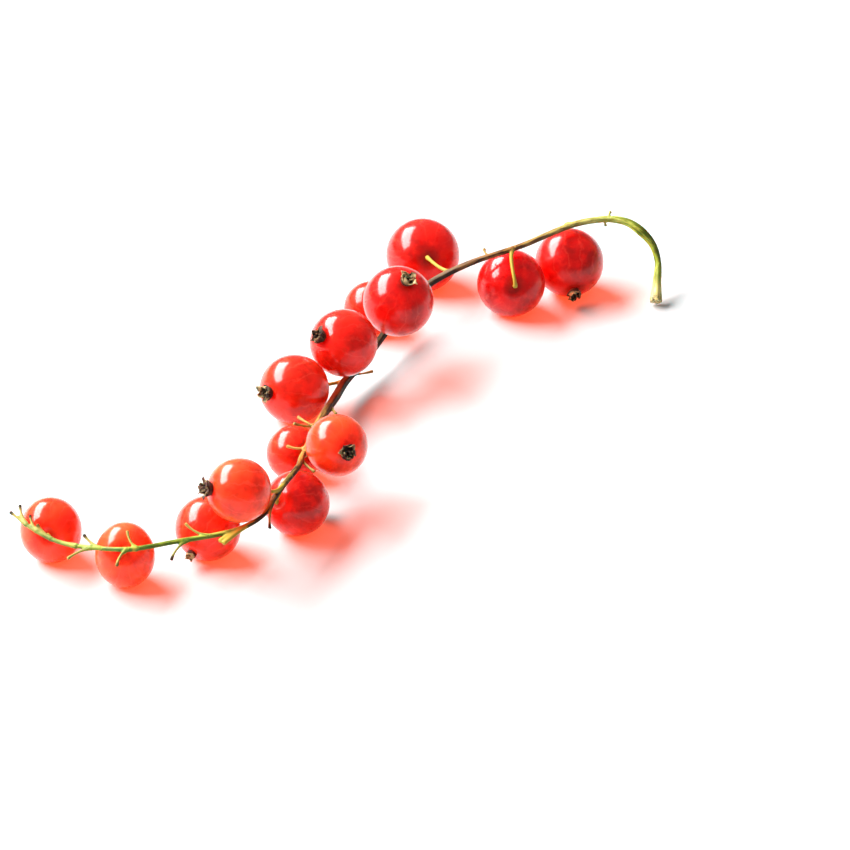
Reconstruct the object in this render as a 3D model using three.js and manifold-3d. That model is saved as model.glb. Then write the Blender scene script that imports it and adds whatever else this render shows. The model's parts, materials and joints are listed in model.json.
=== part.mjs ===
// A sprig of redcurrants, lying on a flat surface: a thin arched stalk, called the strig, with
// fourteen berries on short pedicels and the stubs of pedicels whose berries are gone.
// Millimetres, +Z up. The surface is z = 0, and the origin is under the middle of the sprig.
import * as THREE from 'three';
import { mergeVertices } from 'three/addons/utils/BufferGeometryUtils.js';
import Module from 'manifold-3d';

const wasm = await Module();
wasm.setup();

// Berry sizes
const BERRY_SIDES = 16;
const BERRY_RINGS = 10;
const FLAT_DEPTH = 0.22; // a berry that lies on the surface is flattened by this much
const STALK_DIMPLE = { depth: 0.45, width: 0.3 }; // depth in mm, width as an angle in radians
const CALYX_DIMPLE = { depth: 0.3, width: 0.22 };

// Calyx sizes
const CUP_RADIUS = 0.75;
const CUP_LENGTH = 0.95;
const CUP_SIDES = 7;
const SEPALS = 5;
const SEPAL_LENGTH = 1.2;
const SEPAL_ROOT_RADIUS = 0.36;
const SEPAL_TIP_RADIUS = 0.2;
const SEPAL_SIDES = 4;
// How each calyx differs, by its own random numbers
const SEPAL_TURN = 0.25; // as a share of the angle between two sepals
const SEPAL_SHORTEST = 0.8; // as a share of SEPAL_LENGTH
const SEPAL_VARIATION = 0.35;
const SPREAD_LEAST = 0.75; // how far out a sepal's tip is, as a share of CUP_RADIUS
const SPREAD_VARIATION = 0.75;

// Strig sizes
const STRIG_SIDES = 7;
const STRIG_STEPS = 84;
const PEDICEL_SIDES = 5;
const PEDICEL_STEPS = 6;
const PEDICEL_ROOT_RADIUS = 0.36;
const PEDICEL_RADIUS = 0.25;
const PEDICEL_END_RADIUS = 0.38; // the pedicel widens where it meets the berry
const PEDICEL_LEAD = 1.4; // how far it runs on along the strig before it turns
const STUB_SIDES = 4;
const STUB_STEPS = 3;
const STUB_ROOT_RADIUS = 0.3;
const STUB_RADIUS = 0.2;
const STUB_END_RADIUS = 0.26;

const GAP = 0.2; // between a berry and its pedicel, and between a berry and its calyx

// From the zero of the lists below to the origin, which is under the middle of the sprig
const TO_ORIGIN = [-1.9, 1.4, 0];

// The course of the strig from the cut end to the tail: place, and radius there
const STRIG_COURSE = [
  [43.7, 29.8, 0.75, 0.9],
  [43.8, 31.9, 2.6, 0.62],
  [44.0, 34.0, 4.8, 0.46],
  [43.2, 35.0, 7.0, 0.52],
  [41.5, 35.5, 8.9, 0.66],
  [39.7, 36.2, 9.9, 0.56],
  [37.2, 36.3, 10.4, 0.48],
  [34.5, 35.5, 10.6, 0.45],
  [31.8, 34.1, 10.7, 0.44],
  [27.9, 31.3, 10.5, 0.42],
  [24.9, 28.9, 10.4, 0.4],
  [21.0, 27.0, 10.0, 0.38],
  [18.3, 26.6, 9.2, 0.42],
  [15.2, 26.2, 7.9, 0.45],
  [13.0, 26.0, 6.7, 0.49],
  [11.6, 25.4, 6.0, 0.5],
  [9.4, 23.0, 5.0, 0.5],
  [7.5, 19.8, 4.3, 0.5],
  [5.9, 16.6, 3.8, 0.5],
  [4.0, 12.4, 3.3, 0.52],
  [2.0, 8.5, 2.8, 0.56],
  [0.4, 5.0, 2.7, 0.6],
  [-0.7, 0.5, 3.2, 0.62],
  [-1.9, -5.3, 4.4, 0.53],
  [-2.8, -10.6, 5.8, 0.46],
  [-3.5, -15.2, 6.9, 0.41],
  [-4.2, -18.6, 6.7, 0.39],
  [-4.6, -21.9, 7.7, 0.38],
  [-4.9, -25.9, 8.9, 0.38],
  [-6.3, -30.0, 9.3, 0.38],
  [-7.7, -32.7, 8.6, 0.36],
  [-8.5, -34.2, 7.8, 0.35],
  [-9.9, -35.1, 6.9, 0.34],
  [-11.9, -36.4, 6.5, 0.33],
  [-14.3, -37.6, 6.5, 0.32],
  [-19.6, -39.4, 6.6, 0.31],
  [-24.9, -42.4, 7.5, 0.3],
  [-29.5, -41.3, 6.9, 0.28],
  [-34.2, -39.2, 6.4, 0.27],
  [-38.1, -36.6, 7.0, 0.26],
  [-39.6, -34.9, 7.3, 0.25],
];

// The berries from the cut end to the tail. A berry with no height lies on the surface. calyx is
// the way that the blossom end points, and leaves is how far from the cut end, along the strig,
// the pedicel leaves it. reach is how far out of the berry the pedicel comes before it turns.
// tall makes a berry higher than it is wide, and calyxSize makes its calyx smaller.
const BERRIES = [
  { at: [31.5, 34.2], diameter: 9.7, calyx: [0.12, -0.86, -0.5], leaves: 20.6, reach: 2.6 },
  { at: [23.2, 28.5], diameter: 9.5, calyx: [-0.1, 0.9, -0.42], leaves: 31.8, reach: 3.0 },
  { at: [10.9, 35.7], diameter: 10.4, calyx: [-0.13, 0.9, -0.42], leaves: 41.0, reach: 1.8 },
  { at: [7.6, 14.4], height: 9.8, diameter: 9.6, calyx: [0.25, -0.39, 0.88], leaves: 52.4, reach: 0.8 },
  { at: [3.7, 23.3], diameter: 7.5, calyx: [-0.2, 0.95, -0.1], leaves: 48.4, reach: 1.9 },
  { at: [0.3, 5.7], height: 8.4, diameter: 9.1, calyx: [-0.65, -0.54, 0.54], leaves: 62.4, reach: 1.2 },
  { at: [-6.2, 0.3], diameter: 9.3, calyx: [-0.72, -0.64, 0.27], leaves: 67.6, reach: 1.4 },
  { at: [-0.1, -20.1], height: 8.5, diameter: 8.0, calyx: [0.36, -0.88, 0.31], leaves: 84.0, reach: 1.8 },
  { at: [-5.8, -14.0], diameter: 7.3, calyx: [-0.4, 0.8, -0.42], leaves: 90.2, reach: 1.2 },
  { at: [-5.1, -26.7], diameter: 8.4, calyx: [0.6, 0.65, -0.46], leaves: 104.0, reach: 0.8 },
  { at: [-11.9, -34.7], height: 11.1, diameter: 8.1, calyx: [-0.89, -0.35, 0.29], leaves: 105.6, reach: 1.2 },
  {
    at: [-16.1, -32.4],
    diameter: 8.3,
    calyx: [-0.47, -0.76, -0.42],
    calyxSize: 0.75,
    leaves: 108.0,
    reach: 2.2,
  },
  {
    at: [-26.1, -38.6],
    diameter: 7.5,
    tall: 1.14,
    calyx: [-0.05, 0.8, -0.6],
    calyxSize: 0.7,
    leaves: 128.6,
    reach: 0.5,
  },
  { at: [-35.8, -33.0], diameter: 7.8, tall: 1.1, calyx: [0.0, 0.93, -0.36], leaves: 136.6, reach: 1.8 },
];

// Empty pedicels: how far from the cut end each leaves the strig, and where its tip is. The two
// whose thickness is given, as a share of the others', make up a small fleshy bract.
const STUBS = [
  { leaves: 15.9, tip: [37.3, 37.0, 11.3] },
  { leaves: 16.4, tip: [36.6, 35.9, 9.5] },
  { leaves: 35.6, tip: [19.4, 28.2, 10.2] },
  { leaves: 66.5, tip: [4.2, 7.8, 2.7] },
  { leaves: 76.0, tip: [-0.5, -5.6, 4.2] },
  { leaves: 86.2, tip: [-5.4, -10.0, 6.5] },
  { leaves: 86.0, tip: [-5.8, -14.4, 8.2] },
  { leaves: 92.6, tip: [-6.6, -17.6, 6.8] },
  { leaves: 97.3, tip: [-2.8, -25.0, 7.6] },
  { leaves: 109.0, tip: [-8.1, -36.6, 6.7] },
  { leaves: 113.4, tip: [-14.0, -39.2, 6.1], thickness: 1.6 },
  { leaves: 114.1, tip: [-14.5, -38.8, 6.2], thickness: 1.6 },
  { leaves: 119.0, tip: [-18.6, -36.7, 7.5] },
  { leaves: 121.6, tip: [-20.1, -42.0, 5.6] },
  { leaves: 128.6, tip: [-25.5, -40.3, 8.8] },
  { leaves: 129.8, tip: [-26.6, -44.8, 6.6] },
  { leaves: 133.3, tip: [-31.0, -39.5, 7.7] },
  { leaves: 134.6, tip: [-32.9, -42.2, 5.9] },
  { leaves: 140.4, tip: [-37.0, -37.0, 7.6] },
  { leaves: 142.6, tip: [-38.0, -35.4, 7.9] },
  { leaves: 144.4, tip: [-40.6, -34.4, 7.7] },
  { leaves: 144.4, tip: [-39.4, -33.6, 8.2] },
];

// Colours, from the crimson end by the cut to the orange-red tail
const CRIMSON = new THREE.Color(0xa80f1c);
const ORANGE_RED = new THREE.Color(0xf2452c);
const STALK_GREEN = new THREE.Color(0x8fa03a);
const CALYX_BROWN = new THREE.Color(0x4a3626);

const vector = (list) => new THREE.Vector3(...list);

// Seeded random numbers from 0 to 1, so that every calyx is a little different
function seededRandom(seed) {
  let state = seed;
  return () => {
    state = (state * 16807) % 2147483647;
    return state / 2147483647;
  };
}

function toSolid(geometry) {
  const bare = geometry.clone();
  bare.deleteAttribute('normal');
  bare.deleteAttribute('uv');
  const merged = mergeVertices(bare, 1e-4);
  return new wasm.Manifold(new wasm.Mesh({
    numProp: 3,
    vertProperties: new Float32Array(merged.attributes.position.array),
    triVerts: new Uint32Array(merged.index.array),
  }));
}

function toGeometry(solid) {
  const mesh = solid.getMesh();
  const geometry = new THREE.BufferGeometry();
  geometry.setAttribute('position', new THREE.BufferAttribute(mesh.vertProperties, 3));
  geometry.setIndex(new THREE.BufferAttribute(mesh.triVerts, 1));
  geometry.computeVertexNormals();
  return geometry;
}

// A closed round stem along a curve, whose radius follows radiusAt(share of the length)
function taperedStem(curve, radiusAt, sides, steps) {
  const frames = curve.computeFrenetFrames(steps, false);
  const positions = [];
  const faces = [];
  for (let step = 0; step <= steps; step += 1) {
    const share = step / steps;
    const centre = curve.getPointAt(share);
    const radius = radiusAt(share);
    for (let side = 0; side < sides; side += 1) {
      const angle = (side / sides) * Math.PI * 2;
      const across = frames.normals[step].clone().multiplyScalar(Math.cos(angle) * radius);
      const up = frames.binormals[step].clone().multiplyScalar(Math.sin(angle) * radius);
      positions.push(...centre.clone().add(across).add(up).toArray());
    }
  }
  for (let step = 0; step < steps; step += 1) {
    for (let side = 0; side < sides; side += 1) {
      const a = step * sides + side;
      const b = step * sides + ((side + 1) % sides);
      faces.push(a, b, b + sides, a, b + sides, a + sides);
    }
  }
  const first = positions.length / 3;
  positions.push(...curve.getPointAt(0).toArray(), ...curve.getPointAt(1).toArray());
  for (let side = 0; side < sides; side += 1) {
    const next = (side + 1) % sides;
    const end = steps * sides;
    faces.push(first, next, side);
    faces.push(first + 1, end + side, end + next);
  }
  const geometry = new THREE.BufferGeometry();
  geometry.setAttribute('position', new THREE.BufferAttribute(new Float32Array(positions), 3));
  geometry.setIndex(faces);
  return geometry;
}

// Radius that goes smoothly through the listed values, evenly spaced along a stem
function radiusThrough(values) {
  return (share) => {
    const place = share * (values.length - 1);
    const index = Math.min(Math.floor(place), values.length - 2);
    return THREE.MathUtils.lerp(values[index], values[index + 1], place - index);
  };
}

// A berry's outline from the stalk end to the blossom end, turned round its own axis. The ends
// are drawn in a little, and the rings lie closer together there.
function berryGeometry(radius) {
  const outline = [];
  for (let ring = 0; ring <= BERRY_RINGS; ring += 1) {
    const even = ring / BERRY_RINGS;
    const angle = Math.PI * (even - 0.07 * Math.sin(2 * Math.PI * even));
    const stalkDip = STALK_DIMPLE.depth * Math.exp(-((angle / STALK_DIMPLE.width) ** 2));
    const calyxDip = CALYX_DIMPLE.depth * Math.exp(-(((Math.PI - angle) / CALYX_DIMPLE.width) ** 2));
    const onAxis = ring === 0 || ring === BERRY_RINGS;
    outline.push(new THREE.Vector2(
      onAxis ? 0 : radius * Math.sin(angle),
      -radius * Math.cos(angle) + stalkDip - calyxDip,
    ));
  }
  return new THREE.LatheGeometry(outline, BERRY_SIDES);
}

const turnTo = (direction) => (
  new THREE.Quaternion().setFromUnitVectors(new THREE.Vector3(0, 1, 0), direction)
);

// Each berry's radius, middle and axis, worked out from the list above
const berries = BERRIES.map((entry) => {
  const radius = entry.diameter / 2;
  const tall = entry.tall ?? 1;
  const lies = entry.height === undefined;
  const middle = new THREE.Vector3(...entry.at, lies ? radius * tall - FLAT_DEPTH : entry.height);
  return { ...entry, radius, tall, lies, middle, axis: vector(entry.calyx).normalize() };
});

// The point that lies so far out from a berry's middle, on a berry that may be stretched upwards
function placeOut(berry, direction, distance) {
  const out = direction.clone().multiplyScalar(distance);
  out.z *= berry.tall;
  return out.add(berry.middle);
}

// The surface that the sprig lies on, as a slab to cut the berries with
function slabUnder(height) {
  const thickness = 4;
  const slab = new THREE.BoxGeometry(20, 20, thickness);
  slab.translate(0, 0, -height - thickness / 2);
  return toSolid(slab);
}

function makeBerry(berry) {
  const geometry = berryGeometry(berry.radius).applyQuaternion(turnTo(berry.axis));
  geometry.scale(1, 1, berry.tall);
  let solid = toSolid(geometry);
  if (berry.lies) {
    solid = solid.subtract(slabUnder(berry.middle.z));
  }
  return toGeometry(solid);
}

// The dried calyx: a short cup with shrivelled sepals that stand up round its rim
function makeCalyx(berry, index) {
  const random = seededRandom(101 + index * 37);
  const outline = [
    [0, 0],
    [CUP_RADIUS * 0.72, 0],
    [CUP_RADIUS, CUP_LENGTH * 0.55],
    [CUP_RADIUS * 0.85, CUP_LENGTH],
    [0, CUP_LENGTH * 0.8],
  ].map(([across, along]) => new THREE.Vector2(across, along));
  let solid = toSolid(new THREE.LatheGeometry(outline, CUP_SIDES));
  for (let sepal = 0; sepal < SEPALS; sepal += 1) {
    const angle = ((sepal + SEPAL_TURN * random()) / SEPALS) * Math.PI * 2;
    const length = SEPAL_LENGTH * (SEPAL_SHORTEST + SEPAL_VARIATION * random());
    const spread = SPREAD_LEAST + SPREAD_VARIATION * random();
    const point = (across, along) => (
      new THREE.Vector3(Math.cos(angle) * across, along, Math.sin(angle) * across)
    );
    const curve = new THREE.QuadraticBezierCurve3(
      point(CUP_RADIUS * 0.6, CUP_LENGTH * 0.5),
      point(CUP_RADIUS * 1.1, CUP_LENGTH * 0.9),
      point(CUP_RADIUS * spread, CUP_LENGTH * 0.55 + length),
    );
    const radius = radiusThrough([SEPAL_ROOT_RADIUS, SEPAL_ROOT_RADIUS, SEPAL_TIP_RADIUS]);
    solid = solid.add(toSolid(taperedStem(curve, radius, SEPAL_SIDES, 2)));
  }
  const geometry = toGeometry(solid).applyQuaternion(turnTo(berry.axis));
  const size = berry.calyxSize ?? 1;
  return geometry.scale(size, size, size);
}

const strigCurve = new THREE.CatmullRomCurve3(
  STRIG_COURSE.map(([x, y, z]) => new THREE.Vector3(x, y, z)),
  false,
  'centripetal',
);
strigCurve.arcLengthDivisions = 800;
const strigLength = strigCurve.getLength();

// How far along the strig each listed radius lies, as a share of its length
const strigShares = STRIG_COURSE.map((point, index) => {
  const lengths = strigCurve.getLengths();
  const nearest = Math.round((index / (STRIG_COURSE.length - 1)) * (lengths.length - 1));
  return lengths[nearest] / strigLength;
});

function strigRadius(share) {
  const next = Math.max(1, strigShares.findIndex((value) => value >= share - 1e-9));
  const start = strigShares[next - 1];
  const part = (share - start) / (strigShares[next] - start);
  return THREE.MathUtils.lerp(STRIG_COURSE[next - 1][3], STRIG_COURSE[next][3], part);
}

// A pedicel leaves along the strig, turns, and meets its berry at the stalk end
function makePedicel(berry) {
  const share = berry.leaves / strigLength;
  const start = strigCurve.getPointAt(share);
  const along = strigCurve.getTangentAt(share);
  const out = berry.axis.clone().negate();
  const end = placeOut(berry, out, berry.radius - STALK_DIMPLE.depth + GAP);
  const curve = new THREE.CubicBezierCurve3(
    start,
    start.clone().addScaledVector(along, PEDICEL_LEAD),
    end.clone().addScaledVector(out, berry.reach),
    end,
  );
  const radius = radiusThrough([
    PEDICEL_ROOT_RADIUS, PEDICEL_RADIUS, PEDICEL_RADIUS, PEDICEL_RADIUS, PEDICEL_END_RADIUS,
  ]);
  return toSolid(taperedStem(curve, radius, PEDICEL_SIDES, PEDICEL_STEPS));
}

function makeStub(stub) {
  const share = stub.leaves / strigLength;
  const start = strigCurve.getPointAt(share);
  const tip = vector(stub.tip);
  const knee = start.clone().lerp(tip, 0.35);
  knee.addScaledVector(strigCurve.getTangentAt(share), 0.25 * start.distanceTo(tip));
  const curve = new THREE.QuadraticBezierCurve3(start, knee, tip);
  const radii = [STUB_ROOT_RADIUS, STUB_RADIUS, STUB_RADIUS, STUB_END_RADIUS];
  const radius = radiusThrough(radii.map((value) => value * (stub.thickness ?? 1)));
  return toSolid(taperedStem(curve, radius, STUB_SIDES, STUB_STEPS));
}

function makeStrig() {
  let solid = toSolid(taperedStem(strigCurve, strigRadius, STRIG_SIDES, STRIG_STEPS));
  for (const berry of berries) {
    solid = solid.add(makePedicel(berry));
  }
  for (const stub of STUBS) {
    solid = solid.add(makeStub(stub));
  }
  return toGeometry(solid);
}

function addMesh(group, name, geometry, color, roughness) {
  const material = new THREE.MeshStandardMaterial({ color, roughness, metalness: 0 });
  const mesh = new THREE.Mesh(geometry, material);
  mesh.name = name;
  group.add(mesh);
  return mesh;
}

const sprig = new THREE.Group();
sprig.position.set(...TO_ORIGIN);
addMesh(sprig, 'strig', makeStrig(), STALK_GREEN, 0.6);
berries.forEach((berry, index) => {
  const number = String(index + 1).padStart(2, '0');
  const ripeness = CRIMSON.clone().lerp(ORANGE_RED, index / (berries.length - 1));
  const foot = placeOut(berry, berry.axis, berry.radius - CALYX_DIMPLE.depth + GAP);
  addMesh(sprig, `berry_${number}`, makeBerry(berry), ripeness, 0.15).position.copy(berry.middle);
  addMesh(sprig, `calyx_${number}`, makeCalyx(berry, index), CALYX_BROWN, 0.9).position.copy(foot);
});

export default sprig;
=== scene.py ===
"""A sprig of redcurrants that lies on a pale surface, dressed over its solid model.

The lists give the sprig's layout in millimetres. What is made from them is in metres,
in the solid model's own frame.
"""

import json
import math
from typing import NamedTuple

import bpy
import numpy as np
from bpy.props import FloatProperty, FloatVectorProperty, IntProperty, PointerProperty
from mathutils import Matrix, Vector, kdtree

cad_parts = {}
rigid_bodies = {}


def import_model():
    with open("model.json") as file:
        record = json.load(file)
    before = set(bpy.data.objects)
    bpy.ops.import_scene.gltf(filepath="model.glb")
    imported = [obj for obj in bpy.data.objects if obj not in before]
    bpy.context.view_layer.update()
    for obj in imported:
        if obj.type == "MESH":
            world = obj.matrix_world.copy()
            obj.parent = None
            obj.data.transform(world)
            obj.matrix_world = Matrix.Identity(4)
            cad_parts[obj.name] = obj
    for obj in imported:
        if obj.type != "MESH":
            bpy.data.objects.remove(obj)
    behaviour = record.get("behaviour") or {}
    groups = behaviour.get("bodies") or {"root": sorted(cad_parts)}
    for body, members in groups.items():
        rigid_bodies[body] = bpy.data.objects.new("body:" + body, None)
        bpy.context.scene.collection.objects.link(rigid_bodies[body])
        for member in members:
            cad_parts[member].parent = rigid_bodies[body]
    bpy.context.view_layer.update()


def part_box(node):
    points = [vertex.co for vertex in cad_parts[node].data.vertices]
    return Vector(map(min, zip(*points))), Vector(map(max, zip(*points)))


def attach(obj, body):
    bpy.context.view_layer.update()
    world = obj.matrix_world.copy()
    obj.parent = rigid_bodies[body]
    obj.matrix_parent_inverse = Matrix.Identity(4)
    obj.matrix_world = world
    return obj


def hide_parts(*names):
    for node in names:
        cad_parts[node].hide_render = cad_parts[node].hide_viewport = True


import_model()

bl_info = {
    "name": "Sprig of Redcurrants",
    "version": (1, 0, 0),
    "blender": (4, 5, 0),
    "location": "View3D > Sidebar > Redcurrants",
    "description": "Builds a sprig of redcurrants with its stalk, berries and dry calyxes",
    "category": "Object",
}

MM = 0.001
BODY = "root"
LAYOUT_SHIFT = Vector((-1.9, 1.4, 0.0))  # from the layout to the model's frame, in mm

# The strig from its cut end to its thin end: x, y, z and radius, in mm
STRIG_COURSE = (
    (43.56, 29.8, 0.75, 0.88), (43.76, 31.9, 2.6, 0.62), (43.95, 34.0, 4.8, 0.46),
    (43.2, 35.0, 7.0, 0.52), (41.5, 35.5, 8.9, 0.66), (39.7, 36.2, 9.9, 0.56),
    (37.2, 36.3, 10.4, 0.48), (34.5, 35.5, 10.6, 0.45), (31.8, 34.1, 10.7, 0.44),
    (27.9, 31.3, 10.5, 0.42), (24.9, 28.9, 10.4, 0.4), (21.0, 27.0, 10.0, 0.38),
    (18.3, 26.6, 9.2, 0.42), (15.2, 26.2, 7.9, 0.45), (13.0, 26.0, 6.7, 0.49),
    (11.6, 25.4, 6.0, 0.5), (9.4, 23.0, 5.0, 0.5), (7.5, 19.8, 4.3, 0.5),
    (5.9, 16.6, 3.8, 0.5), (4.0, 12.4, 3.3, 0.52), (2.0, 8.5, 2.8, 0.56),
    (0.4, 5.0, 2.7, 0.6), (-0.7, 0.5, 3.2, 0.62), (-1.9, -5.3, 4.4, 0.53),
    (-2.8, -10.6, 5.8, 0.46), (-3.5, -15.2, 6.9, 0.41), (-4.2, -18.6, 6.7, 0.39),
    (-4.6, -21.9, 7.7, 0.38), (-4.9, -25.9, 8.9, 0.38), (-6.3, -30.0, 9.3, 0.38),
    (-7.7, -32.7, 8.6, 0.36), (-8.5, -34.2, 7.8, 0.35), (-9.9, -35.1, 6.9, 0.34),
    (-11.9, -36.4, 6.5, 0.33), (-14.3, -37.6, 6.5, 0.32), (-19.6, -39.4, 6.6, 0.31),
    (-24.9, -42.4, 7.5, 0.3), (-29.5, -41.3, 6.9, 0.28), (-34.2, -39.2, 6.4, 0.27),
    (-38.1, -36.6, 7.0, 0.26), (-39.6, -34.9, 7.3, 0.25),
)


class Berry(NamedTuple):
    """One berry of the layout, in mm. A berry with no height lies on the surface."""

    at: tuple  # its middle, x and y
    diameter: float
    calyx: tuple  # the way its calyx points
    leaves: float  # how far down the strig its pedicel leaves
    reach: float  # how far its pedicel runs straight before it meets the berry
    height: float = None
    tall: float = 1.0
    ripeness: float = 1.0  # 1 is full crimson, 0 the orange-red of the last berries
    calyx_size: float = 1.0
    pale_calyx: bool = False


BERRIES = (
    Berry((31.5, 34.2), 9.7, (0.12, -0.86, -0.5), 20.6, 2.6, ripeness=0.9),
    Berry((23.2, 28.5), 9.5, (-0.1, 0.9, -0.42), 31.8, 3.0, ripeness=0.95),
    Berry((10.9, 35.7), 10.4, (-0.13, 0.9, -0.42), 41.0, 1.8, ripeness=0.85),
    Berry((7.6, 14.4), 9.6, (0.25, -0.39, 0.88), 52.4, 0.8, height=9.8, ripeness=0.88,
          pale_calyx=True),
    Berry((3.7, 23.3), 7.5, (-0.2, 0.95, -0.1), 48.4, 1.9, ripeness=0.65),
    Berry((0.3, 5.7), 9.1, (-0.65, -0.54, 0.54), 62.4, 1.2, height=8.4, ripeness=0.78),
    Berry((-6.2, 0.3), 9.3, (-0.72, -0.64, 0.27), 67.6, 1.4, ripeness=0.62),
    Berry((-0.1, -20.1), 8.0, (0.36, -0.88, 0.31), 84.0, 1.8, height=8.5, ripeness=0.2),
    Berry((-5.8, -14.0), 7.3, (-0.4, 0.8, -0.42), 90.2, 1.2, ripeness=0.6),
    Berry((-5.1, -26.7), 8.4, (0.6, 0.65, -0.46), 104.0, 0.8, ripeness=0.8),
    Berry((-11.9, -34.7), 8.1, (-0.89, -0.35, 0.29), 105.6, 1.2, height=11.1, ripeness=0.15),
    Berry((-16.1, -32.4), 8.3, (-0.47, -0.76, -0.42), 108.0, 2.2, ripeness=0.5,
          calyx_size=0.68, pale_calyx=True),
    Berry((-26.1, -38.6), 7.5, (-0.05, 0.8, -0.6), 128.6, 0.5, tall=1.14, ripeness=0.0,
          calyx_size=0.7),
    Berry((-35.8, -33.0), 7.8, (0.0, 0.93, -0.36), 136.6, 1.8, tall=1.1, ripeness=0.25),
)


class Stub(NamedTuple):
    """The stub of a pedicel whose berry is gone, in mm."""

    leaves: float
    tip: tuple
    dark: float = 0.35  # how dark its dried tip is
    fresh: float = 0.0  # 1 on the fleshy bract, 0 on a stub that dried at its tip


STUBS = (
    Stub(15.9, (37.3, 37.0, 11.3)), Stub(16.4, (36.6, 35.9, 9.5)),
    Stub(35.6, (19.4, 28.2, 10.2)), Stub(66.5, (4.2, 7.8, 2.7), dark=0.0),
    Stub(76.0, (-0.5, -5.6, 4.2)), Stub(86.2, (-5.4, -10.0, 6.5)),
    Stub(86.0, (-5.8, -14.4, 8.2)), Stub(92.6, (-6.6, -17.6, 6.8), dark=0.0),
    Stub(97.3, (-2.8, -25.0, 7.6), dark=0.0), Stub(109.0, (-8.1, -36.6, 6.7), dark=1.0),
    Stub(113.2, (-13.8, -39.1, 6.1), fresh=1.0), Stub(114.0, (-14.3, -38.7, 6.2), fresh=1.0),
    Stub(119.0, (-18.6, -36.7, 7.5), dark=0.1), Stub(121.6, (-20.1, -42.0, 5.6), dark=1.0),
    Stub(128.6, (-25.5, -40.3, 8.8), dark=0.15), Stub(129.8, (-26.6, -44.8, 6.6), dark=0.6),
    Stub(133.3, (-31.0, -39.5, 7.7), dark=1.0), Stub(134.6, (-32.9, -42.2, 5.9), dark=0.1),
    Stub(140.4, (-37.0, -37.0, 7.6), dark=0.7), Stub(142.6, (-38.0, -35.4, 7.9), dark=1.0),
    Stub(144.4, (-40.6, -34.4, 7.7), dark=1.0), Stub(144.4, (-39.4, -33.6, 8.2), dark=1.0),
)

# Sizes of the limbs and how they meet the berries, in mm
FLAT_DEPTH = 0.22  # how far a lying berry is flattened by the surface
PEDICEL_LEAD = 1.4  # how far a pedicel runs along the strig before it turns
PEDICEL_RADII = (0.4, 0.27, 0.24, 0.25, 0.36)
STUB_KNEE = 0.35  # where a stub bends, as a share of its length
STUB_LEAD = 0.25  # how far its bend is carried down the strig, as a share of its length
STUB_RADII = (0.36, 0.18, 0.16, 0.24)
BRACT_RADII = (0.26, 0.25, 0.29, 0.29)
STALK_GAP = 0.2  # between a pedicel's end and the bottom of its dimple
PLACE_TOLERANCE = 0.3  # how far a berry's solid may lie from its place in the list

STRIG_STEPS = 24  # points from one place of the course to the next
PEDICEL_STEPS = 36
STUB_STEPS = 20
NEAREST = 6  # points of the middle lines that a point of the stalk chooses from
BERRY_SEGMENTS = 96
BERRY_RINGS = 64
VEINS = 13  # pale lines from end to end of a berry

TISSUES = (("dry calyx", 0.74), ("pale dry calyx", 0.1))  # and the share of dark sepals
CALYX_LOWEST = 0.00008  # m over the surface, before the tissue gets its thickness
STALK_DIMPLE_WIDTH = 0.3  # radians, seen from the berry's middle
CALYX_DIMPLE_WIDTH = 0.22

# What the stalk is coloured along its length: mm from the cut end, its flesh, and the paler
# colour of its streaks and of its side painted as lit
STALK_COLOURS = (
    (0.0, "c6b070", "efe2a8"),
    (1.8, "d2c473", "f0e8a2"),
    (3.6, "8e9230", "d8d560"),
    (6.5, "55601a", "b4bc3c"),
    (11.0, "5f6a1c", "c4c848"),
    (15.0, "8f9434", "dcdc74"),
    (18.0, "9c9a42", "e2de88"),
    (21.0, "7a6230", "cdbd66"),
    (27.0, "6d4c30", "bd9c58"),
    (33.0, "4a2c18", "a8763c"),
    (38.0, "2e1a0f", "80582f"),
    (45.0, "1f140c", "5a4424"),
    (58.0, "1c110b", "443018"),
    (70.0, "170d08", "5a3c1c"),
    (80.0, "28180c", "7c5426"),
    (88.0, "6a401a", "cf9f52"),
    (94.0, "5e3614", "c48c44"),
    (98.0, "40230d", "b0752f"),
    (101.0, "2a160a", "8e5a24"),
    (105.0, "2e1a0c", "8a6a2a"),
    (109.0, "26170a", "7a5a22"),
    (112.5, "2c1f0c", "8a742c"),
    (116.0, "5c5c20", "a8a040"),
    (121.0, "54701c", "a6b03a"),
    (134.0, "4e6e26", "9aa23c"),
    (146.0, "5c6c34", "929248"),
)

# Painted light: the stalk's side that faces these ways is painted paler, on the arch by the cut
# end and on the rest; on the rest it faces the window
PAINTED_LIT_SIDE_OF_ARCH = (-0.8, -0.3, -0.5)
PAINTED_LIT_SIDE = (-0.6, 0.1, 0.8)
ARCH_LENGTH = 13.0  # mm
ARCH_FADE = 5.0

# The stage, in metres
CAMERA_TARGET = Vector((0.0093, -0.0002, 0.0))
CAMERA_DISTANCE = 0.5
CAMERA_TILT = math.radians(32)
CAMERA_LENS = 158.82  # mm, on a sensor 36 mm wide
SPRIG_MIDDLE = Vector((0.0, 0.0, 0.005))
WINDOW_DIRECTION = (-0.66, 0.28, 0.69)  # from the sprig
WINDOW_LONG_SIDE = (0.41, 0.91, -0.06)
WINDOW_DISTANCE = 0.6
WINDOW_GAP = 0.003  # between the two shares of its light
FLOOR_WIDTH = 3.0
FLOOR_COLOUR = (0.57, 0.57, 0.57)


# Settings


def fine_length(name, default, description):
    """A setting that is a small length, in metres."""
    return FloatProperty(
        name=name, description=description, unit="LENGTH", default=default, precision=5
    )


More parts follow.
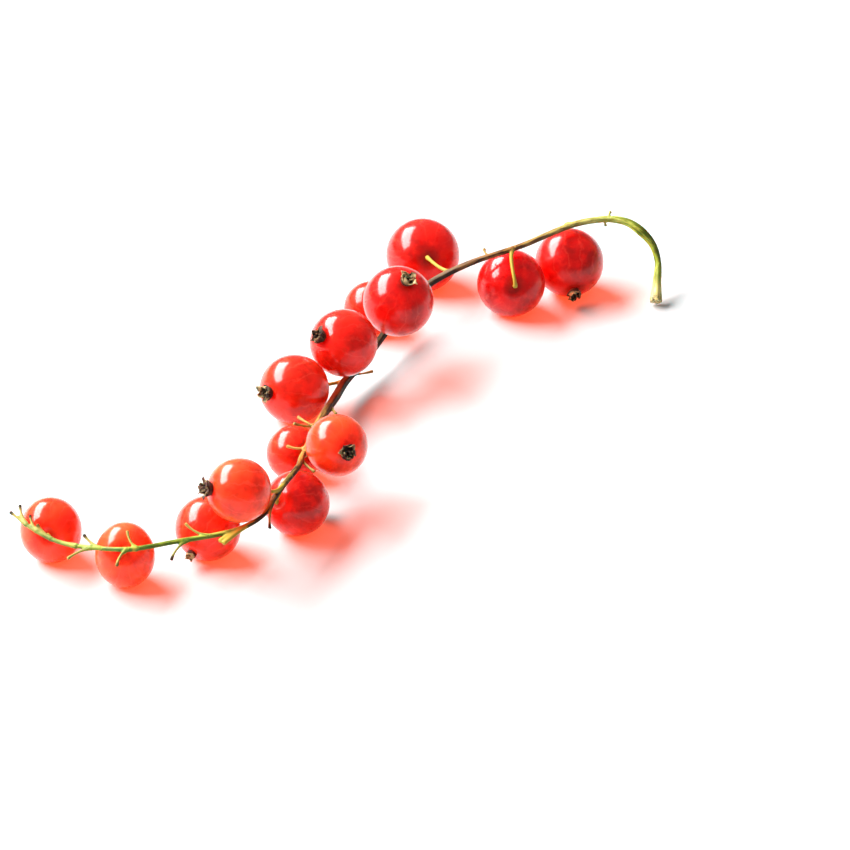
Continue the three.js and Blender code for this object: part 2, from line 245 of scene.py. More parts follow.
class BerrySettings(bpy.types.PropertyGroup):
    """Sizes and colours of the berries."""

    ripe: FloatVectorProperty(
        name="Ripe", description="Juice colour of a fully ripe berry",
        subtype="COLOR", min=0.0, max=1.0, default=(0.42, 0.0003, 0.004),
    )
    pale: FloatVectorProperty(
        name="Pale", description="Juice colour of the palest berry",
        subtype="COLOR", min=0.0, max=1.0, default=(0.88, 0.095, 0.026),
    )
    gloss: FloatProperty(
        name="Roughness", description="Roughness of the skin",
        min=0.0, max=1.0, default=0.3,
    )
    glow: FloatProperty(
        name="Glow Depth", description="How deep light wanders in the juice",
        unit="LENGTH", default=0.03, precision=4,
    )
    stalk_dimple: fine_length("Stalk Dimple", 0.00045, "Depth of the dimple at the stalk end")
    calyx_dimple: fine_length("Calyx Dimple", 0.0003, "Depth of the dimple at the calyx end")
    lumps: fine_length("Unevenness", 0.00007, "Height of the soft swellings of the skin")


class StalkSettings(bpy.types.PropertyGroup):
    """Sizes of the stalk."""

    sides: IntProperty(
        name="Sides", description="Faces round the stalk before it is fused",
        min=6, default=20,
    )
    fineness: fine_length("Fineness", 0.00011, "Size of the faces of the fused stalk")
    ridges: IntProperty(
        name="Ridges", description="Ridges that run along the stalk", min=0, default=5,
    )
    ridge_height: FloatProperty(
        name="Ridge Height", description="Height of a ridge as a share of the radius",
        min=0.0, max=0.5, default=0.1,
    )


class CalyxSettings(bpy.types.PropertyGroup):
    """Sizes of the dry calyxes."""

    cup_radius: fine_length("Cup Radius", 0.001, "Radius of the shrivelled cup")
    cup_length: fine_length("Cup Length", 0.0007, "Length of the shrivelled cup")
    sepal_length: fine_length("Sepal Length", 0.00105, "Length of a dry sepal")
    sepal_width: fine_length("Sepal Width", 0.0012, "Width of a dry sepal at its widest")
    curl: FloatProperty(
        name="Curl", description="How far a sepal may curl outwards",
        unit="ROTATION", default=1.05,
    )
    crumple: fine_length("Crumple", 0.0004, "How far the dry tissue is crumpled")
    thickness: fine_length("Thickness", 0.00009, "Thickness of the dry tissue")


class StageSettings(bpy.types.PropertyGroup):
    """The light and the floor."""

    window_power: FloatProperty(
        name="Window Power", description="Power of the tall window light",
        unit="POWER", default=15.8,
    )
    window_width: FloatProperty(
        name="Window Width", description="Width of the window light",
        unit="LENGTH", default=0.28,
    )
    window_height: FloatProperty(
        name="Window Height", description="Height of the window light",
        unit="LENGTH", default=0.77,
    )
    juice_light: FloatVectorProperty(
        name="Juice Light", description="The part of the window's light that berries let through",
        subtype="COLOR", min=0.0, max=1.0, default=(0.82, 0.07, 0.015),
    )
    sky: FloatProperty(
        name="Sky", description="Strength of the even white light", default=0.24,
    )


# Curves of the stalk


class Limb(NamedTuple):
    """The middle line of the strig, a pedicel or a stub, in mm in the model's frame."""

    points: list
    radii: list
    start: float  # mm down the strig where it leaves
    bears: float  # 1 on a pedicel with its berry and on a bract, 0 elsewhere
    dark: float = 0.0  # how dark its tip is


def curve_through(points, steps):
    """A smooth curve through the points, without loops where they are unevenly spaced."""
    ends = [2 * points[0] - points[1], *points, 2 * points[-1] - points[-2]]
    course = []
    for before, start, end, after in zip(ends, ends[1:], ends[2:], ends[3:]):
        first, middle, last = (
            math.sqrt((b - a).length)
            for a, b in ((before, start), (start, end), (end, after))
        )
        leaving = middle * (
            (start - before) / first
            - (end - before) / (first + middle)
            + (end - start) / middle
        )
        arriving = middle * (
            (end - start) / middle
            - (after - start) / (middle + last)
            + (after - end) / last
        )
        for step in range(steps):
            t = step / steps
            course.append(
                start
                + leaving * t
                + (3 * (end - start) - 2 * leaving - arriving) * t**2
                + (2 * (start - end) + leaving + arriving) * t**3
            )
    return [*course, points[-1]]


def curve_towards(controls, steps):
    """A smooth curve from the first control to the last, drawn towards those between."""
    course = []
    for step in range(steps + 1):
        row = controls
        while len(row) > 1:
            row = [a.lerp(b, step / steps) for a, b in zip(row, row[1:])]
        course.append(row[0])
    return course


def spread(values, count):
    """Values evenly spaced along a limb, interpolated at its points."""
    places = np.linspace(0, len(values) - 1, count)
    return list(np.interp(places, range(len(values)), values))


def strig_limb():
    points = [Vector(row[:3]) + LAYOUT_SHIFT for row in STRIG_COURSE]
    course = curve_through(points, STRIG_STEPS)
    radii = spread([row[3] for row in STRIG_COURSE], len(course))
    return Limb(course, radii, 0.0, 0.0)


def place_on(limb, distance):
    """Where the limb is, and which way it goes, so many mm from its start."""
    walked = 0.0
    for a, b in zip(limb.points, limb.points[1:]):
        step = (b - a).length
        if walked + step >= distance:
            return a.lerp(b, (distance - walked) / step), (b - a).normalized()
        walked += step
    return limb.points[-1], (limb.points[-1] - limb.points[-2]).normalized()


def berry_middle(berry):
    radius = berry.diameter / 2
    height = radius * berry.tall - FLAT_DEPTH if berry.height is None else berry.height
    return Vector((*berry.at, height)) + LAYOUT_SHIFT


def place_out(berry, direction, distance):
    """The point so many mm out from the berry's middle, before it is drawn up tall."""
    out = direction * distance
    out.z *= berry.tall
    return berry_middle(berry) + out


def pedicel_limb(strig, berry, dimple):
    start, along = place_on(strig, berry.leaves)
    out = -Vector(berry.calyx).normalized()
    end = place_out(berry, out, berry.diameter / 2 - dimple + STALK_GAP)
    controls = [start, start + along * PEDICEL_LEAD, end + out * berry.reach, end]
    points = curve_towards(controls, PEDICEL_STEPS)
    return Limb(points, spread(PEDICEL_RADII, len(points)), berry.leaves, 1.0)


def stub_limb(strig, stub):
    start, along = place_on(strig, stub.leaves)
    tip = Vector(stub.tip) + LAYOUT_SHIFT
    knee = start.lerp(tip, STUB_KNEE) + along * STUB_LEAD * (tip - start).length
    points = curve_towards([start, knee, tip], STUB_STEPS)
    radii = spread(BRACT_RADII if stub.fresh else STUB_RADII, len(points))
    return Limb(points, radii, stub.leaves, stub.fresh, stub.dark)


# Node helpers


def linear(code):
    """A screen colour such as 'a80f1c' as the colour that a shader takes."""
    parts = [int(code[i : i + 2], 16) / 255 for i in (0, 2, 4)]
    return tuple(c / 12.92 if c < 0.04045 else ((c + 0.055) / 1.055) ** 2.4 for c in parts)


def rgba(colour):
    return (*colour, 1.0)


def paint(code):
    """The same with the fourth value that a colour socket takes."""
    return rgba(linear(code))


def mixed(a, b, share):
    return tuple(x + (y - x) * share for x, y in zip(a, b))


def feed(tree, node, inputs):
    """Gives a node's inputs, by name or number, values or other nodes' sockets."""
    for key, value in inputs.items():
        if isinstance(value, bpy.types.NodeSocket):
            tree.links.new(value, node.inputs[key])
        else:
            node.inputs[key].default_value = value


def add(tree, kind, inputs=None, **settings):
    """A new node with its settings and its inputs."""
    node = tree.nodes.new(kind)
    for name, value in settings.items():
        setattr(node, name, value)
    feed(tree, node, inputs or {})
    return node


def maths(tree, operation, *values):
    inputs = dict(enumerate(values))
    return add(tree, "ShaderNodeMath", inputs, operation=operation).outputs[0]


def times(tree, *values):
    """The product of two or more values."""
    product = values[0]
    for value in values[1:]:
        product = maths(tree, "MULTIPLY", product, value)
    return product


def vector_maths(tree, operation, *values):
    node = add(tree, "ShaderNodeVectorMath", dict(enumerate(values)), operation=operation)
    return node.outputs["Value" if operation in ("LENGTH", "DOT_PRODUCT") else "Vector"]


def scaled(tree, vector, factor):
    inputs = {"Vector": vector, "Scale": factor}
    return add(tree, "ShaderNodeVectorMath", inputs, operation="SCALE").outputs["Vector"]


def combined(tree, x=0.0, y=0.0, z=0.0):
    return add(tree, "ShaderNodeCombineXYZ", {"X": x, "Y": y, "Z": z}).outputs[0]


def separated(tree, vector):
    return add(tree, "ShaderNodeSeparateXYZ", {"Vector": vector}).outputs


def ranged(tree, value, low, high, to_low=0.0, to_high=1.0):
    inputs = {0: value, 1: low, 2: high, 3: to_low, 4: to_high}
    return add(tree, "ShaderNodeMapRange", inputs, clamp=True).outputs[0]


def noise(tree, vector, scale, detail=2.0, roughness=0.5, output="Fac"):
    inputs = {"Vector": vector, "Scale": scale, "Detail": detail, "Roughness": roughness}
    return add(tree, "ShaderNodeTexNoise", inputs).outputs[output]


def mix_colour(tree, factor, a, b):
    inputs = {0: factor, 6: a, 7: b}
    return add(tree, "ShaderNodeMix", inputs, data_type="RGBA").outputs[2]


def attribute(tree, name, output="Fac"):
    """What a material reads from the points of its piece."""
    return add(tree, "ShaderNodeAttribute", attribute_name=name).outputs[output]


def bump(tree, height, strength, distance):
    inputs = {"Height": height, "Strength": strength, "Distance": distance}
    return add(tree, "ShaderNodeBump", inputs).outputs[0]


def position(tree):
    return add(tree, "GeometryNodeInputPosition").outputs[0]


def geometry_tree(name, sockets):
    """A Geometry Nodes tree with named inputs. Returns the tree, its inputs and its end."""
    tree = bpy.data.node_groups.new(name, "GeometryNodeTree")
    for label, kind in sockets:
        tree.interface.new_socket(label, in_out="INPUT", socket_type=f"NodeSocket{kind}")
    tree.interface.new_socket("Geometry", in_out="OUTPUT", socket_type="NodeSocketGeometry")
    given = tree.nodes.new("NodeGroupInput").outputs
    end = tree.nodes.new("NodeGroupOutput").inputs["Geometry"]
    return tree, given, end


def finish_tree(tree, geometry, material, end):
    """Ends a tree: smooth shading, Realize Instances and Set Material."""
    smooth = add(tree, "GeometryNodeSetShadeSmooth", {"Geometry": geometry})
    real = add(tree, "GeometryNodeRealizeInstances", {"Geometry": smooth.outputs[0]})
    inputs = {"Geometry": real.outputs[0], "Material": material}
    painted = add(tree, "GeometryNodeSetMaterial", inputs)
    tree.links.new(painted.outputs[0], end)


def store(tree, geometry, name, value, kind="FLOAT_VECTOR"):
    inputs = {"Geometry": geometry, "Name": name, "Value": value}
    node = add(tree, "GeometryNodeStoreNamedAttribute", inputs, data_type=kind)
    return node.outputs[0]


def named(tree, name, kind="FLOAT_VECTOR"):
    node = add(tree, "GeometryNodeInputNamedAttribute", {"Name": name}, data_type=kind)
    return node.outputs["Attribute"]


def dress(name, tree, values, mesh=None):
    """A new object with the tree on it. Further modifiers may follow."""
    piece = bpy.data.objects.new(name, mesh or bpy.data.meshes.new(name))
    bpy.context.scene.collection.objects.link(piece)
    modifier = piece.modifiers.new(tree.name, "NODES")
    modifier.node_group = tree
    for item in tree.interface.items_tree:
        if item.in_out == "INPUT" and item.name in values:
            modifier[item.identifier] = values[item.name]
    return piece


def bake_mesh(piece):
    """Turns what the modifiers make into the piece's own plain mesh."""
    depsgraph = bpy.context.evaluated_depsgraph_get()
    mesh = bpy.data.meshes.new_from_object(
        piece.evaluated_get(depsgraph), preserve_all_data_layers=True, depsgraph=depsgraph
    )
    if not mesh.polygons:
        raise RuntimeError(f"{piece.name} came out empty")
    piece.modifiers.clear()
    mesh.name = piece.name
    piece.data = mesh
    return piece


def stand_for(piece, node):
    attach(piece, BODY)
    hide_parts(node)


# Materials


def new_material(name):
    """A material with its shader, which other nodes then feed."""
    material = bpy.data.materials.new(name)
    material.use_nodes = True
    tree = material.node_tree
    tree.nodes.clear()
    shader = tree.nodes.new("ShaderNodeBsdfPrincipled")
    output = tree.nodes.new("ShaderNodeOutputMaterial")
    tree.links.new(shader.outputs[0], output.inputs["Surface"])
    return material, tree, shader


def berry_skin(name, settings, ripeness, seed):
    """Clear glossy skin over cloudy juice, with pale veins from end to end."""
    material, tree, shader = new_material(name)
    juice = mixed(settings.pale, settings.ripe, ripeness)
    deep = tuple(c * 0.56 for c in juice)
    light = mixed(juice, (1.0, 0.07, 0.035), 0.35)

    place = attribute(tree, "own_place", "Vector")
    shifted = vector_maths(tree, "ADD", place, (seed * 3.1, seed * 1.7, seed * 2.3))
    x, y, z = separated(tree, place)

    cloud = noise(tree, shifted, 1.5, 3.0, 0.55)
    colour = mix_colour(tree, ranged(tree, cloud, 0.36, 0.6), rgba(deep), rgba(juice))
    blotch = noise(tree, shifted, 4.5, 4.0, 0.6)
    pale = ranged(tree, blotch, 0.5, 0.75, 0.0, 0.55)
    colour = mix_colour(tree, pale, colour, rgba(light))

    # Veins: thin meridians, bent a little, strongest between the two ends
    bend = noise(tree, shifted, 2.2, 3.0, 0.6)
    turn = maths(tree, "ARCTAN2", y, x)
    turn = maths(tree, "ADD", turn, ranged(tree, bend, 0.0, 1.0, -0.28, 0.28))
    wave = maths(tree, "ABSOLUTE", maths(tree, "SINE", times(tree, turn, VEINS / 2)))
    line = ranged(tree, wave, 0.0, 0.3, 1.0, 0.0)
    belt = ranged(tree, maths(tree, "ABSOLUTE", z), 0.5, 0.97, 1.0, 0.0)
    vein = times(tree, line, belt, 0.3 - 0.14 * ripeness)
    colour = mix_colour(tree, vein, colour, rgba(mixed(juice, (1.0, 0.3, 0.18), 0.45)))

    # The skin darkens round the stalk and the calyx
    ends = ranged(tree, maths(tree, "ABSOLUTE", z), 0.93, 1.0, 0.0, 0.75)
    colour = mix_colour(tree, ends, colour, rgba(mixed(deep, linear("4a2410"), 0.5)))

    film = noise(tree, shifted, 7.0, 3.0, 0.6)
    ripple = noise(tree, shifted, 9.0, 2.0)
    feed(tree, shader, {
        "Base Color": colour,
        "Roughness": ranged(tree, film, 0.3, 0.8, settings.gloss * 0.8, settings.gloss * 1.6),
        "Normal": bump(tree, ripple, 0.03, 0.0003),
        "IOR": 1.38,
        "Specular IOR Level": 0.1,
        "Subsurface Weight": 0.8,
        "Subsurface Radius": (1.0, 0.08, 0.04),
        "Subsurface Scale": settings.glow,
        "Subsurface Anisotropy": 0.8,
        "Coat Weight": 1.0,
        "Coat IOR": 1.36,
        "Coat Roughness": 0.125,
    })
    return material


def colour_ramp(tree, factor, places, codes):
    """The colour at a share of the way, between the colours at the given places."""
    node = add(tree, "ShaderNodeValToRGB", {"Fac": factor})
    ramp = node.color_ramp
    while len(ramp.elements) < len(places):
        ramp.elements.new(1.0)
    for element, place, code in zip(ramp.elements, places, codes):
        element.position = place
        element.color = paint(code)
    return node.outputs["Color"]


def stalk_skin(length):
    """Green to brown along the strig, streaked lengthwise, with a side painted paler as painted
    light, and dark dry stub tips.
    """
    material, tree, shader = new_material("stalk skin")
    place = attribute(tree, "stalk_place", "Vector")
    out = attribute(tree, "out")
    bears = attribute(tree, "bears")
    painted_lit_side = attribute(tree, "painted_lit_side")
    along, side, up = separated(tree, place)
    share = maths(tree, "DIVIDE", along, length)
    distances, flesh_codes, streak_and_lit_codes = zip(*STALK_COLOURS)
    places = [distance / length for distance in distances]
    flesh = colour_ramp(tree, share, places, flesh_codes)
    streak_and_lit_colour = colour_ramp(tree, share, places, streak_and_lit_codes)
    streak_place = combined(tree, times(tree, along, 0.16), side, up)
    streak = noise(tree, streak_place, 2.6, 4.0, 0.6)
    # Paler along the streaks, and painted light: the side that faces the window is painted paler
    streaks_and_painted_light = maths(tree, "ADD", ranged(tree, streak, 0.38, 0.64), times(tree, painted_lit_side, 0.55))
    colour = mix_colour(tree, ranged(tree, streaks_and_painted_light, 0.3, 1.0), flesh, streak_and_lit_colour)

    patch_place = combined(tree, times(tree, along, 0.5), side, up)
    patch = noise(tree, patch_place, 1.4, 3.0, 0.6)
    brown = mix_colour(tree, 0.75, colour, paint("6a4520"))
    colour = mix_colour(tree, ranged(tree, patch, 0.6, 0.75, 0.0, 0.6), colour, brown)

    # Pedicels are golden beside a brown strig, and a stub dries dark at its tip
    pedicel = times(tree, bears, ranged(tree, out, 0.02, 0.16, 0.0, 0.8))
    colour = mix_colour(tree, pedicel, colour, paint("bda43c"))
    stub = times(tree, maths(tree, "SUBTRACT", 1.0, bears), out)
    dry = ranged(tree, stub, 0.15, 0.5, 0.0, 0.7)
    colour = mix_colour(tree, dry, colour, paint("b59c50"))
    tip = times(tree, ranged(tree, stub, 0.76, 0.9, 0.0, 0.95), attribute(tree, "dark"))
    colour = mix_colour(tree, tip, colour, paint("26150b"))

    # The cut end is pale, with dark dry spots
    spots = noise(tree, place, 3.4, 3.0, 0.7)
    cut = times(tree, ranged(tree, along, 0.25, 1.3, 1.0, 0.0), ranged(tree, spots, 0.48, 0.6))
    colour = mix_colour(tree, cut, colour, paint("4b3a20"))

    grain = noise(tree, streak_place, 5.0, 4.0, 0.65)
    feed(tree, shader, {
        "Base Color": colour,
        "Roughness": ranged(tree, grain, 0.3, 0.7, 0.42, 0.6),
        "Normal": bump(tree, grain, 0.5, 0.0001),
        "Specular IOR Level": 0.2,
        "Subsurface Weight": 0.25,
        "Subsurface Radius": (0.8, 0.8, 0.3),
        "Subsurface Scale": 0.0003,
    })
    return material


def dry_tissue(name, dark_share):
    """Dead tissue: a share of the sepals dark brown with olive patches, the rest golden."""
    material, tree, shader = new_material(name)
    place = attribute(tree, "leaf_place", "Vector")
    spot = add(tree, "ShaderNodeTexCoord").outputs["Object"]
    _, across, thread = separated(tree, place)
    cloud = noise(tree, spot, 900.0, 4.0, 0.6)
    colour = mix_colour(tree, ranged(tree, cloud, 0.4, 0.62), paint("260c07"), paint("5c301e"))
    patch = ranged(tree, noise(tree, spot, 520.0, 2.0), 0.52, 0.66, 0.0, 0.38)
    colour = mix_colour(tree, patch, colour, paint("746f36"))
    golden = ranged(tree, attribute(tree, "tint"), dark_share, dark_share + 0.12)
    golden = times(tree, golden, ranged(tree, cloud, 0.34, 0.48), 0.8)
    colour = mix_colour(tree, golden, colour, paint("d2b27a"))
    rim = ranged(tree, maths(tree, "ABSOLUTE", across), 0.3, 0.5)
    rim = times(tree, rim, ranged(tree, cloud, 0.35, 0.55))
    rim = times(tree, rim, maths(tree, "SUBTRACT", 1.0, thread), 0.8)
    colour = mix_colour(tree, rim, colour, paint("b79a66"))
    thread = times(tree, thread, 0.1 + 0.6 * dark_share)
    colour = mix_colour(tree, thread, colour, paint("1c0f0b"))
    feed(tree, shader, {
        "Base Color": colour,
        "Roughness": ranged(tree, cloud, 0.3, 0.7, 0.55, 0.85),
        "Normal": bump(tree, cloud, 0.8, 0.0001),
    })
    return material


# Trees


def stalk_tree():
    """Sweeps a ridged round section along the limbs, as thick as each point says."""
    tree, given, end = geometry_tree("stalk sweep", (
        ("Limbs", "Geometry"), ("Sides", "Int"), ("Ridges", "Float"),
        ("Ridge Height", "Float"), ("Material", "Material"),
    ))
    thick = named(tree, "thick", "FLOAT")
    line = add(tree, "GeometryNodeMeshToCurve", {"Mesh": given["Limbs"]})
    ring = add(tree, "GeometryNodeCurvePrimitiveCircle", {
        "Resolution": given["Sides"], "Radius": 1.0,
    })
    index = add(tree, "GeometryNodeInputIndex").outputs[0]
    angle = maths(tree, "DIVIDE", times(tree, index, math.tau), given["Sides"])
    wave = maths(tree, "COSINE", times(tree, angle, given["Ridges"]))
    swell = maths(tree, "MULTIPLY_ADD", wave, given["Ridge Height"], 1.0)
    ridged = add(tree, "GeometryNodeSetPosition", {
        "Geometry": ring.outputs[0], "Position": scaled(tree, position(tree), swell),
    })
    tube = add(tree, "GeometryNodeCurveToMesh", {
        "Curve": line.outputs[0], "Profile Curve": ridged.outputs[0],
        "Scale": thick, "Fill Caps": True,
    })
    finish_tree(tree, tube.outputs[0], given["Material"], end)
    return tree


def berry_tree():
    """A round body drawn in at both ends, turned to its axis and flattened where it lies."""
    tree, given, end = geometry_tree("berry body", (
        ("Radius", "Float"), ("Tall", "Float"), ("Axis", "Vector"), ("Middle", "Vector"),
        ("Stalk Dimple", "Float"), ("Stalk Dimple Width", "Float"),
        ("Calyx Dimple", "Float"), ("Calyx Dimple Width", "Float"),
        ("Unevenness", "Float"), ("Seed", "Float"), ("Material", "Material"),
    ))
    ball = add(tree, "GeometryNodeMeshUVSphere", {
        "Segments": BERRY_SEGMENTS, "Rings": BERRY_RINGS, "Radius": 1.0,
    })
    ball = store(tree, ball.outputs["Mesh"], "own_place", position(tree))

    def dimple(angle, depth, width):
        power = maths(tree, "POWER", maths(tree, "DIVIDE", angle, width), 2.0)
        fall = maths(tree, "EXPONENT", times(tree, power, -1.0))
        return times(tree, fall, depth)

    own = named(tree, "own_place")
    from_calyx = maths(tree, "ARCCOSINE", separated(tree, own)[2])
    from_stalk = maths(tree, "SUBTRACT", math.pi, from_calyx)
    drawn_in = maths(
        tree, "SUBTRACT",
        dimple(from_stalk, given["Stalk Dimple"], given["Stalk Dimple Width"]),
        dimple(from_calyx, given["Calyx Dimple"], given["Calyx Dimple Width"]),
    )
    moved = vector_maths(tree, "ADD", own, combined(tree, given["Seed"], given["Seed"], 0.0))
    swelling = noise(tree, moved, 1.1, 1.0)
    lump = times(tree, maths(tree, "SUBTRACT", swelling, 0.5), given["Unevenness"])
    outward = scaled(tree, own, maths(tree, "ADD", given["Radius"], lump))
    shaped = vector_maths(tree, "ADD", outward, combined(tree, z=drawn_in))

    turn = add(tree, "FunctionNodeAlignRotationToVector", {"Vector": given["Axis"]}, axis="Z")
    turned = add(tree, "FunctionNodeRotateVector", {
        "Vector": shaped, "Rotation": turn.outputs[0],
    }).outputs[0]
    taller = combined(tree, 1.0, 1.0, given["Tall"])
    drawn_up = vector_maths(tree, "MULTIPLY", turned, taller)
    placed = vector_maths(tree, "ADD", drawn_up, given["Middle"])
    x, y, z = separated(tree, placed)
    resting = combined(tree, x, y, maths(tree, "MAXIMUM", z, 0.0))
    body = add(tree, "GeometryNodeSetPosition", {"Geometry": ball, "Position": resting})
    finish_tree(tree, body.outputs[0], given["Material"], end)
    return tree


class LeafRing(NamedTuple):
    """A ring of dry strips in a calyx, all sepals or all threads."""

    count: int
    columns: int  # points across a strip
    rows: int  # points along a strip
    root: float  # its radius, as a share of the cup's
    rise: float  # its height, as a share of the cup's
    width: float  # of a strip, as a share of a sepal's
    curl: float  # as a share of a sepal's
    seed: float  # added to the calyx's own seed
    thread: float  # 1 on threads, 0 on sepals


SEPALS = LeafRing(6, 7, 12, root=0.8, rise=0.55, width=1.0, curl=1.0, seed=0.0, thread=0.0)
THREADS = LeafRing(14, 3, 9, root=0.36, rise=0.3, width=0.28, curl=0.8, seed=50.0, thread=1.0)
CUP_SIDES = 20
LEAF_TURN = 0.35  # radians that a strip may stand off its even place in the ring
LEAF_CURL = (-0.35, 1.0)  # least and most, as shares of the full curl
LEAF_SIZE = (0.7, 1.12)  # least and most, as shares of a sepal's length
LEAF_BELLY = 0.9  # how far a strip's edges bend in, as a share of its width
LEAF_TAPER = 0.62  # how much narrower a strip is at its tip


def dry_leaves(tree, given, ring):
    """Strips that stand round a cup, each tapered, curled and turned by chance."""
    width = times(tree, given["Sepal Width"], ring.width)
    curl = times(tree, given["Curl"], ring.curl)

    def chance(low, high, number):
        seed = maths(tree, "ADD", given["Seed"], ring.seed + number)
        inputs = {2: low, 3: high, "Seed": seed}
        return add(tree, "FunctionNodeRandomValue", inputs, data_type="FLOAT").outputs[1]

    index = add(tree, "GeometryNodeInputIndex").outputs[0]
    even = times(tree, index, math.tau / ring.count)
    points = add(tree, "GeometryNodePoints", {"Count": ring.count}).outputs[0]
    for name, value in (
        ("sector", maths(tree, "ADD", even, chance(-LEAF_TURN, LEAF_TURN, 1))),
        ("curl", times(tree, chance(*LEAF_CURL, 2), curl)),
        ("size", chance(*LEAF_SIZE, 3)),
        ("tint", chance(0.0, 1.0, 4)),
    ):
        points = store(tree, points, name, value, "FLOAT")
    strip = add(tree, "GeometryNodeMeshGrid", {
        "Size X": 1.0, "Size Y": 1.0, "Vertices X": ring.columns, "Vertices Y": ring.rows,
    })
    copies = add(tree, "GeometryNodeInstanceOnPoints", {
        "Points": points, "Instance": strip.outputs["Mesh"],
    })
    leaves = add(tree, "GeometryNodeRealizeInstances", {"Geometry": copies.outputs[0]}).outputs[0]
    # Every strip was made at its point, and all points are at the centre
    across, share, _ = separated(tree, position(tree))
    share = maths(tree, "ADD", share, 0.5)
    leaves = store(tree, leaves, "leaf_place", combined(tree, share, across, ring.thread))
    share, across, _ = separated(tree, named(tree, "leaf_place"))
    size = times(tree, named(tree, "size", "FLOAT"), given["Sepal Length"])
    reach = times(tree, share, size)
    bend = times(tree, maths(tree, "POWER", share, 1.4), named(tree, "curl", "FLOAT"))
    outward = times(tree, reach, maths(tree, "SINE", bend))
    upward = times(tree, reach, maths(tree, "COSINE", bend))
    belly = times(tree, maths(tree, "POWER", maths(tree, "ABSOLUTE", across), 2.0), -LEAF_BELLY)
    radius = maths(tree, "ADD", times(tree, given["Cup Radius"], ring.root), outward)
    radius = maths(tree, "ADD", radius, times(tree, belly, width))
    height = maths(tree, "ADD", times(tree, given["Cup Length"], ring.rise), upward)
    narrowing = times(tree, maths(tree, "POWER", share, 2.5), LEAF_TAPER)
    sideways = times(tree, across, width, maths(tree, "SUBTRACT", 1.0, narrowing))
    turned = add(tree, "ShaderNodeVectorRotate", {
        "Vector": combined(tree, radius, sideways, height),
        "Axis": (0.0, 0.0, 1.0), "Angle": named(tree, "sector", "FLOAT"),
    }, rotation_type="AXIS_ANGLE").outputs[0]
    inputs = {"Geometry": leaves, "Position": turned}
    return add(tree, "GeometryNodeSetPosition", inputs).outputs[0]


def calyx_tree():
    """The dry remains of the flower: a shrivelled cup, crumpled sepals and dark threads."""
    tree, given, end = geometry_tree("dry calyx", (
        ("Foot", "Vector"), ("Axis", "Vector"), ("Cup Radius", "Float"),
        ("Cup Length", "Float"), ("Sepal Length", "Float"), ("Sepal Width", "Float"),
        ("Curl", "Float"), ("Crumple", "Float"), ("Seed", "Int"), ("Material", "Material"),
    ))
    sepals = dry_leaves(tree, given, SEPALS)
    threads = dry_leaves(tree, given, THREADS)
    cup = add(tree, "GeometryNodeMeshCone", {
        "Vertices": CUP_SIDES, "Side Segments": 7,
        "Radius Top": given["Cup Radius"],
        "Radius Bottom": times(tree, given["Cup Radius"], 0.7),
        "Depth": given["Cup Length"],
    }, fill_type="NONE")
    inner = add(tree, "GeometryNodeMeshCone", {
        "Vertices": CUP_SIDES, "Side Segments": 3,
        "Radius Top": times(tree, given["Cup Radius"], 0.01),
        "Radius Bottom": times(tree, given["Cup Radius"], 0.85),
        "Depth": times(tree, given["Cup Length"], 0.35),
    }, fill_type="NONE")
    raised = add(tree, "GeometryNodeTransform", {
        "Geometry": inner.outputs["Mesh"],
        "Translation": combined(tree, z=times(tree, given["Cup Length"], 0.45)),
    })
    parts = add(tree, "GeometryNodeJoinGeometry")
    for geometry in (raised.outputs[0], cup.outputs["Mesh"], threads, sepals):
        tree.links.new(geometry, parts.inputs[0])

    place = position(tree)
    seed = given["Seed"]
    moved = vector_maths(
        tree, "ADD", scaled(tree, place, 1000.0),
        combined(tree, times(tree, seed, 7.3), seed, 0.0),
    )
    crease = vector_maths(
        tree, "SUBTRACT", noise(tree, moved, 1.5, 3.0, 0.6, "Color"), (0.5, 0.5, 0.5)
    )
    # The tips of the sepals crumple more than their feet
    free = ranged(tree, separated(tree, place)[2], 0.0, 0.0012, 0.4, 1.6)
    offset = scaled(tree, crease, times(tree, given["Crumple"], 2.0, free))
    crumpled = add(tree, "GeometryNodeSetPosition", {
        "Geometry": parts.outputs[0], "Offset": offset,
    })
    turn = add(tree, "FunctionNodeAlignRotationToVector", {"Vector": given["Axis"]}, axis="Z")
    placed = add(tree, "GeometryNodeTransform", {
        "Geometry": crumpled.outputs[0], "Translation": given["Foot"],
        "Rotation": turn.outputs[0],
    })
    x, y, z = separated(tree, position(tree))
    resting = add(tree, "GeometryNodeSetPosition", {
        "Geometry": placed.outputs[0],
        "Position": combined(tree, x, y, maths(tree, "MAXIMUM", z, CALYX_LOWEST)),
    })
    finish_tree(tree, resting.outputs[0], given["Material"], end)
    return tree


# Operators


def limb_mesh(limbs):
    """All middle lines as one mesh of edges, with the radius of each point in metres."""
    points, edges, radii = [], [], []
    for limb in limbs:
        first = len(points)
        points += [p * MM for p in limb.points]
        edges += [(first + i, first + i + 1) for i in range(len(limb.points) - 1)]
        radii += [r * MM for r in limb.radii]
    mesh = bpy.data.meshes.new("limbs")
    mesh.from_pydata(points, edges, [])
    mesh.attributes.new("thick", "FLOAT", "POINT").data.foreach_set("value", radii)
    return mesh


class Sample(NamedTuple):
    """A point of a limb's middle line, and where it is on the stalk."""

    point: Vector
    along: Vector
    side: Vector
    reach: float  # mm down the strig and out on the limb
    out: float  # share of the way to the tip of a pedicel or stub
    radius: float
    limb: Limb


def across_frames(points):
    """For each point of a limb its direction and a sideways direction that turns least."""
    frames = []
    side = None
    for index, point in enumerate(points):
        ahead = points[min(index + 1, len(points) - 1)]
        behind = points[max(index - 1, 0)]
        along = (ahead - behind).normalized()
        if side is None:
            side = along.orthogonal()
        side = (side - along * side.dot(along)).normalized()
        frames.append((point, along, side.copy()))
    return frames


